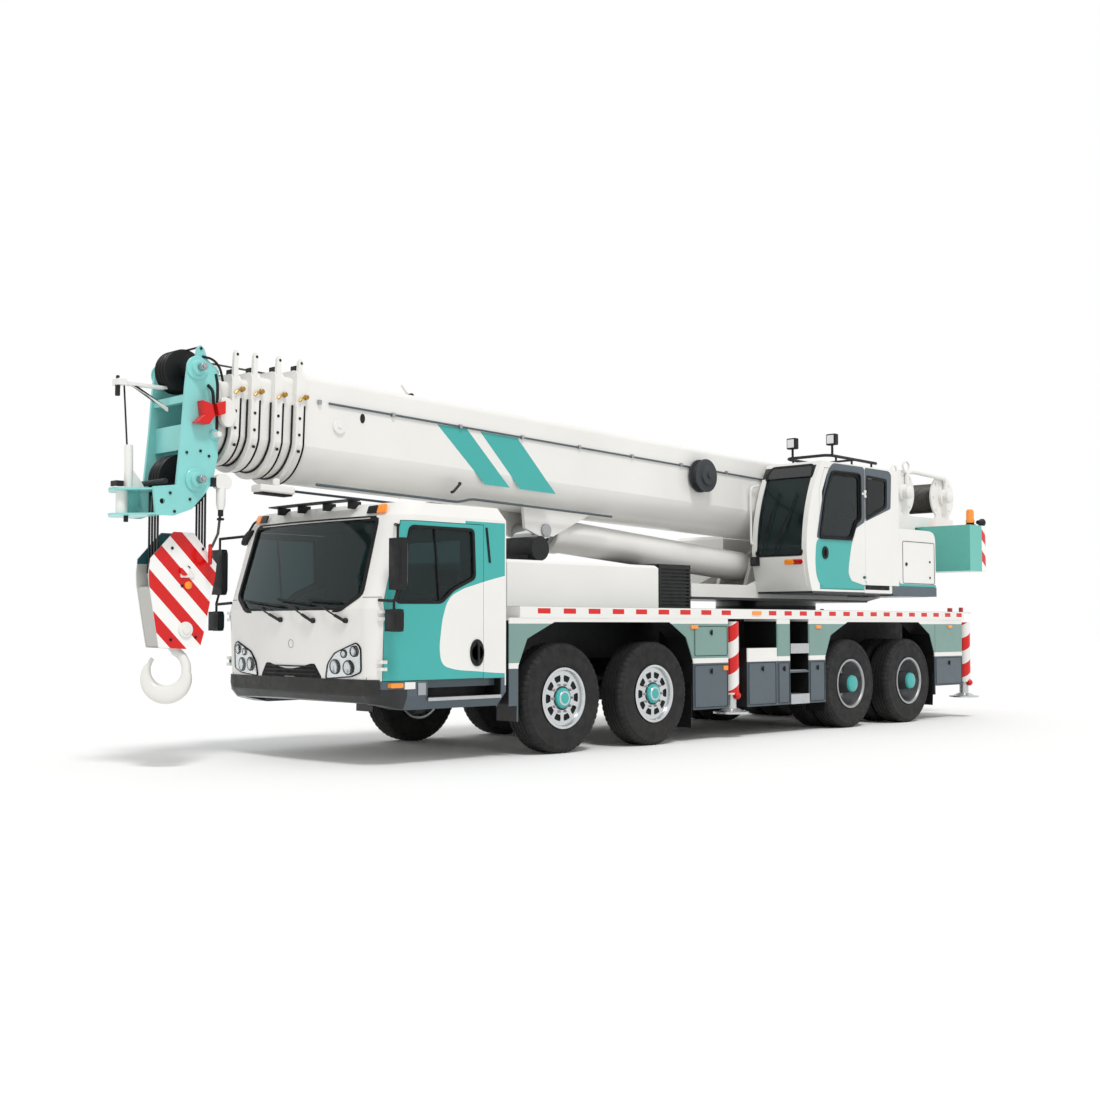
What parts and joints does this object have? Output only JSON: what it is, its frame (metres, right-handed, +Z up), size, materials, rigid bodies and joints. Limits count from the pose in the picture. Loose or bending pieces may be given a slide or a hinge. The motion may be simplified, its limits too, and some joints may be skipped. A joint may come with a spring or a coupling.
{
  "type": "mobile crane",
  "caption": "Road-going truck crane with a long telescopic boom, two cabs, outriggers and a hook block.",
  "frame": {"origin": "on the ground, under the middle of the crane's whole length and width", "axes": "+X forward, from the winches to the boom head; +Y to the vehicle's left; +Z up"},
  "size_m": [13.2999, 3.02, 3.6766],
  "materials": {
    "white_paint": "gloss white paint",
    "teal_paint": "gloss turquoise paint",
    "slate_paint": "satin slate grey paint",
    "black_paint": "satin black paint",
    "warning_paint": "red and white warning paint",
    "tyre": "black tyre rubber",
    "alloy": "polished alloy",
    "rim_paint": "bare steel rim with a bright lip",
    "chrome": "hard chrome",
    "glass": "clear window glass",
    "seat_fabric": "dark grey seat cloth",
    "black_plastic": "grained black plastic",
    "grey_plastic": "grained grey plastic",
    "cast_black": "black cast sheaves"
  },
  "bodies": {
    "carrier": {"axles": "black_paint", "bumper": "slate_paint", "cab_dashboard": "grey_plastic", "cab_glass": "glass", "cab_seats": "seat_fabric", "cab_shell": "white_paint", "chassis_frame": "black_paint", "deck": "white_paint", "engine_and_cooler": "black_paint", "engine_cover": "white_paint", "mirrors": "black_plastic", "side_bodywork": "slate_paint"},
    "turntable": {"turntable_frame": "white_paint", "op_cab_shell": "white_paint", "op_cab_glass": "glass", "op_cab_seat": "seat_fabric", "machinery_housing": "white_paint", "counterweight": "teal_paint", "winches": "white_paint"},
    "operator_door": {"op_cab_door": "teal_paint"},
    "boom_base": {"boom_base": "white_paint"},
    "boom_section_2": {"boom_section_2": "white_paint"},
    "boom_section_3": {"boom_section_3": "white_paint"},
    "boom_section_4": {"boom_section_4": "white_paint"},
    "boom_head": {"boom_section_5": "teal_paint", "sheaves": "cast_black"},
    "hook_block": {"hook_block": "white_paint"},
    "hook": {"hook": "white_paint"},
    "lift_barrel": {"lift_barrel": "white_paint"},
    "lift_rod": {"lift_rod": "chrome"},
    "cab_door_left": {"cab_door_left": "teal_paint"},
    "cab_door_right": {"cab_door_right": "teal_paint"},
    "wheel_1_left": {"rim_1_left": "alloy", "tyre_1_left": "tyre"},
    "knuckle_1_left": {"knuckle_1_left": "black_paint"},
    "wheel_1_right": {"rim_1_right": "alloy", "tyre_1_right": "tyre"},
    "knuckle_1_right": {"knuckle_1_right": "black_paint"},
    "wheel_2_left": {"rim_2_left": "alloy", "tyre_2_left": "tyre"},
    "knuckle_2_left": {"knuckle_2_left": "black_paint"},
    "wheel_2_right": {"rim_2_right": "alloy", "tyre_2_right": "tyre"},
    "knuckle_2_right": {"knuckle_2_right": "black_paint"},
    "wheel_3_left": {"rim_3_left": "rim_paint", "tyre_3_left": "tyre"},
    "wheel_3_right": {"rim_3_right": "rim_paint", "tyre_3_right": "tyre"},
    "wheel_4_left": {"rim_4_left": "rim_paint", "tyre_4_left": "tyre"},
    "wheel_4_right": {"rim_4_right": "rim_paint", "tyre_4_right": "tyre"},
    "outrigger_beam_front_left": {"outrigger_beam_front_left": "warning_paint"},
    "outrigger_jack_front_left": {"outrigger_jack_front_left": "chrome"},
    "outrigger_beam_front_right": {"outrigger_beam_front_right": "warning_paint"},
    "outrigger_jack_front_right": {"outrigger_jack_front_right": "chrome"},
    "outrigger_beam_rear_left": {"outrigger_beam_rear_left": "warning_paint"},
    "outrigger_jack_rear_left": {"outrigger_jack_rear_left": "chrome"},
    "outrigger_beam_rear_right": {"outrigger_beam_rear_right": "warning_paint"},
    "outrigger_jack_rear_right": {"outrigger_jack_rear_right": "chrome"}
  },
  "joints": [
    {"name": "slew", "type": "hinge", "parent": "carrier", "child": "turntable", "pos_m": [-2.52, 0, 1.5], "axis": [0, 0, 1], "continuous": true},
    {"name": "luff", "type": "hinge", "parent": "turntable", "child": "boom_base", "pos_m": [-4.42, 0, 2.72], "axis": [0, -1, 0], "range_deg": [0, 72]},
    {"name": "telescope_2", "type": "slide", "parent": "boom_base", "child": "boom_section_2", "axis": [0.9995, 0, 0.0314], "range_m": [0, 7.3]},
    {"name": "telescope_3", "type": "slide", "parent": "boom_section_2", "child": "boom_section_3", "axis": [0.9995, 0, 0.0314], "range_m": [0, 7.3]},
    {"name": "telescope_4", "type": "slide", "parent": "boom_section_3", "child": "boom_section_4", "axis": [0.9995, 0, 0.0314], "range_m": [0, 7.3]},
    {"name": "telescope_5", "type": "slide", "parent": "boom_section_4", "child": "boom_head", "axis": [0.9995, 0, 0.0314], "range_m": [0, 7.3]},
    {"name": "hook_hang", "type": "hinge", "parent": "boom_head", "child": "hook_block", "pos_m": [6.025, 0, 2.5], "axis": [0, -1, 0], "range_deg": [-72, 0]},
    {"name": "hook_swivel", "type": "hinge", "parent": "hook_block", "child": "hook", "pos_m": [6.025, 0, 1.14], "axis": [0, 0, 1], "continuous": true},
    {"name": "lift_swing", "type": "hinge", "parent": "turntable", "child": "lift_barrel", "pos_m": [-2.02, 0, 1.99], "axis": [0, -1, 0], "range_deg": [0, 86.38]},
    {"name": "lift_stroke", "type": "slide", "parent": "lift_barrel", "child": "lift_rod", "axis": [0.9972, 0, 0.0745], "range_m": [0, 2.6809]},
    {"name": "operator_door_hinge", "type": "hinge", "parent": "turntable", "child": "operator_door", "pos_m": [-2.897, 1.2656, 2.4], "axis": [0, 0, 1], "range_deg": [0, 75]},
    {"name": "cab_door_left_hinge", "type": "hinge", "parent": "carrier", "child": "cab_door_left", "pos_m": [4.689, 1.23155, 1.12], "axis": [0, 0, -1], "range_deg": [0, 65]},
    {"name": "cab_door_right_hinge", "type": "hinge", "parent": "carrier", "child": "cab_door_right", "pos_m": [4.689, -1.23155, 1.12], "axis": [0, 0, 1], "range_deg": [0, 65]},
    {"name": "steer_1_left", "type": "hinge", "parent": "carrier", "child": "knuckle_1_left", "pos_m": [2.48, 1.04, 0.54], "axis": [0, 0, 1], "range_deg": [-30, 30]},
    {"name": "wheel_1_left_spin", "type": "hinge", "parent": "knuckle_1_left", "child": "wheel_1_left", "pos_m": [2.48, 1.1, 0.54], "axis": [0, 1, 0], "continuous": true},
    {"name": "steer_1_right", "type": "hinge", "parent": "carrier", "child": "knuckle_1_right", "pos_m": [2.48, -1.04, 0.54], "axis": [0, 0, 1], "range_deg": [-30, 30]},
    {"name": "wheel_1_right_spin", "type": "hinge", "parent": "knuckle_1_right", "child": "wheel_1_right", "pos_m": [2.48, -1.1, 0.54], "axis": [0, 1, 0], "continuous": true},
    {"name": "steer_2_left", "type": "hinge", "parent": "carrier", "child": "knuckle_2_left", "pos_m": [1.125, 1.04, 0.54], "axis": [0, 0, 1], "range_deg": [-22.5, 22.5]},
    {"name": "wheel_2_left_spin", "type": "hinge", "parent": "knuckle_2_left", "child": "wheel_2_left", "pos_m": [1.125, 1.1, 0.54], "axis": [0, 1, 0], "continuous": true},
    {"name": "steer_2_right", "type": "hinge", "parent": "carrier", "child": "knuckle_2_right", "pos_m": [1.125, -1.04, 0.54], "axis": [0, 0, 1], "range_deg": [-22.5, 22.5]},
    {"name": "wheel_2_right_spin", "type": "hinge", "parent": "knuckle_2_right", "child": "wheel_2_right", "pos_m": [1.125, -1.1, 0.54], "axis": [0, 1, 0], "continuous": true},
    {"name": "wheel_3_left_spin", "type": "hinge", "parent": "carrier", "child": "wheel_3_left", "pos_m": [-2.565, 1.1, 0.54], "axis": [0, 1, 0], "continuous": true},
    {"name": "wheel_3_right_spin", "type": "hinge", "parent": "carrier", "child": "wheel_3_right", "pos_m": [-2.565, -1.1, 0.54], "axis": [0, 1, 0], "continuous": true},
    {"name": "wheel_4_left_spin", "type": "hinge", "parent": "carrier", "child": "wheel_4_left", "pos_m": [-3.915, 1.1, 0.54], "axis": [0, 1, 0], "continuous": true},
    {"name": "wheel_4_right_spin", "type": "hinge", "parent": "carrier", "child": "wheel_4_right", "pos_m": [-3.915, -1.1, 0.54], "axis": [0, 1, 0], "continuous": true},
    {"name": "outrigger_beam_front_left_slide", "type": "slide", "parent": "carrier", "child": "outrigger_beam_front_left", "axis": [0, 1, 0], "range_m": [0, 1.7]},
    {"name": "outrigger_jack_front_left_slide", "type": "slide", "parent": "outrigger_beam_front_left", "child": "outrigger_jack_front_left", "axis": [0, 0, -1], "range_m": [0, 0.45]},
    {"name": "outrigger_beam_front_right_slide", "type": "slide", "parent": "carrier", "child": "outrigger_beam_front_right", "axis": [0, -1, 0], "range_m": [0, 1.7]},
    {"name": "outrigger_jack_front_right_slide", "type": "slide", "parent": "outrigger_beam_front_right", "child": "outrigger_jack_front_right", "axis": [0, 0, -1], "range_m": [0, 0.45]},
    {"name": "outrigger_beam_rear_left_slide", "type": "slide", "parent": "carrier", "child": "outrigger_beam_rear_left", "axis": [0, 1, 0], "range_m": [0, 1.7]},
    {"name": "outrigger_jack_rear_left_slide", "type": "slide", "parent": "outrigger_beam_rear_left", "child": "outrigger_jack_rear_left", "axis": [0, 0, -1], "range_m": [0, 0.45]},
    {"name": "outrigger_beam_rear_right_slide", "type": "slide", "parent": "carrier", "child": "outrigger_beam_rear_right", "axis": [0, -1, 0], "range_m": [0, 1.7]},
    {"name": "outrigger_jack_rear_right_slide", "type": "slide", "parent": "outrigger_beam_rear_right", "child": "outrigger_jack_rear_right", "axis": [0, 0, -1], "range_m": [0, 0.45]}
  ],
  "couplings": [
    {"joint": "telescope_3", "follows": "telescope_2", "ratio": 1},
    {"joint": "telescope_4", "follows": "telescope_2", "ratio": 1},
    {"joint": "telescope_5", "follows": "telescope_2", "ratio": 1},
    {"joint": "hook_hang", "follows": "luff", "ratio": -1},
    {"joint": "lift_swing", "follows": "luff", "ratio": 1.1995},
    {"joint": "lift_stroke", "follows": "luff", "m_per_rad": 2.1326},
    {"joint": "steer_1_right", "follows": "steer_1_left", "ratio": 1},
    {"joint": "steer_2_left", "follows": "steer_1_left", "ratio": 0.75},
    {"joint": "steer_2_right", "follows": "steer_1_left", "ratio": 0.75}
  ]
}
